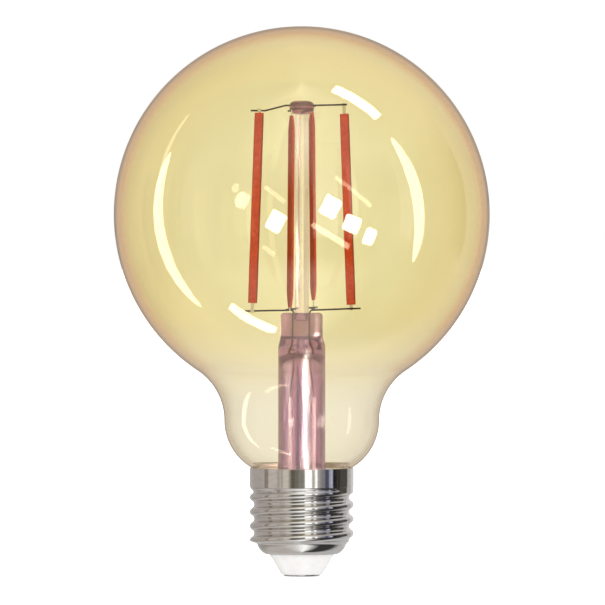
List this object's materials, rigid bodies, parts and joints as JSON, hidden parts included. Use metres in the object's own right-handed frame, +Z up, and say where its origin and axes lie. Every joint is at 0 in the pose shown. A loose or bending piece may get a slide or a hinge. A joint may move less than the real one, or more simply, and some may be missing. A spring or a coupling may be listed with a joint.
{
  "type": "smart light bulb",
  "caption": "Smart filament light bulb: amber glass globe on a screw cap, with upright LED filaments on a glass stem and a radio driver in the cap.",
  "frame": {"origin": "centre of the flat end of the centre contact, on the bulb's axis", "axes": "+Z runs up the bulb's axis from the contact to the top of the globe; -Y faces the viewer, +X is to the viewer's right"},
  "size_m": [0.095, 0.095, 0.139],
  "materials": {
    "amber_glass": "clear amber-tinted blown glass",
    "stem_glass": "clear smoky violet lead-free stem glass",
    "rod_glass": "clear drawn glass rod",
    "frame_wire": "oxidised nickel wire",
    "lead_wire": "copper-clad wire",
    "phosphor": "matt orange-red silicone with phosphor",
    "filament_strip": "white alumina ceramic",
    "led_chip": "polished sapphire chips",
    "filament_tab": "thin nickel-plated strip",
    "nickel_shell": "bright nickel plate, rolled",
    "white_insulator": "satin white moulded plastic",
    "contact_metal": "nickel-plated contact with light scuffs",
    "cement": "baked mineral-filled cement",
    "cup_plastic": "matt white moulded liner",
    "sleeve_fibre": "off-white insulating sleeve",
    "circuit_board": "green solder mask over glass-epoxy",
    "radio_circuit_board": "dark blue solder mask",
    "capacitor_sleeve": "shrunk plastic sleeve over an aluminium can",
    "ferrite": "pressed dark ferrite",
    "copper_winding": "enamelled copper wire turns",
    "chip_package": "moulded black epoxy",
    "component_metal": "tinned copper",
    "solder": "bright solder",
    "ceramic_body": "fired tan ceramic",
    "fuse_lacquer": "green lacquered ceramic body",
    "crystal_can": "drawn nickel-silver can",
    "wire_insulation": "red wire insulation"
  },
  "bodies": {
    "root": {"antenna_wire": "wire_insulation", "branch_wire_back": "frame_wire", "branch_wire_front": "frame_wire", "bridge_rectifier": "chip_package", "bulk_capacitor": "capacitor_sleeve", "cap_cement": "cement", "cap_insulator": "white_insulator", "cap_shell": "nickel_shell", "centre_contact": "contact_metal", "ceramic_capacitors": "ceramic_body", "chip_resistors": "chip_package", "component_leads": "component_metal", "contact_wire": "component_metal", "driver_board": "circuit_board", "driver_chip": "chip_package", "driver_cup": "cup_plastic", "exhaust_tube": "stem_glass", "filament_back_chips": "led_chip", "filament_back_phosphor": "phosphor", "filament_back_strip": "filament_strip", "filament_back_tabs": "filament_tab", "filament_front_chips": "led_chip", "filament_front_phosphor": "phosphor", "filament_front_strip": "filament_strip", "filament_front_tabs": "filament_tab", "filament_left_chips": "led_chip", "filament_left_phosphor": "phosphor", "filament_left_strip": "filament_strip", "filament_left_tabs": "filament_tab", "filament_right_chips": "led_chip", "filament_right_phosphor": "phosphor", "filament_right_strip": "filament_strip", "filament_right_tabs": "filament_tab", "fuse_resistor": "fuse_lacquer", "fuse_resistor_lead": "component_metal", "glass_globe": "amber_glass", "inductor_winding": "copper_winding", "inner_lead_left": "frame_wire", "inner_lead_right": "frame_wire", "lead_sleeve_left": "sleeve_fibre", "lead_sleeve_right": "sleeve_fibre", "outer_lead_left": "lead_wire", "outer_lead_right": "lead_wire", "package_legs": "component_metal", "power_inductor": "ferrite", "radio_board": "radio_circuit_board", "radio_chip": "chip_package", "radio_crystal": "crystal_can", "radio_pins": "component_metal", "seal_wire_left": "lead_wire", "seal_wire_right": "lead_wire", "shell_wire": "wire_insulation", "solder_joints": "solder", "stem_flare": "stem_glass", "support_rod": "rod_glass", "top_bead": "stem_glass", "top_wire_front_back": "frame_wire", "top_wire_left_right": "frame_wire"}
  },
  "joints": []
}
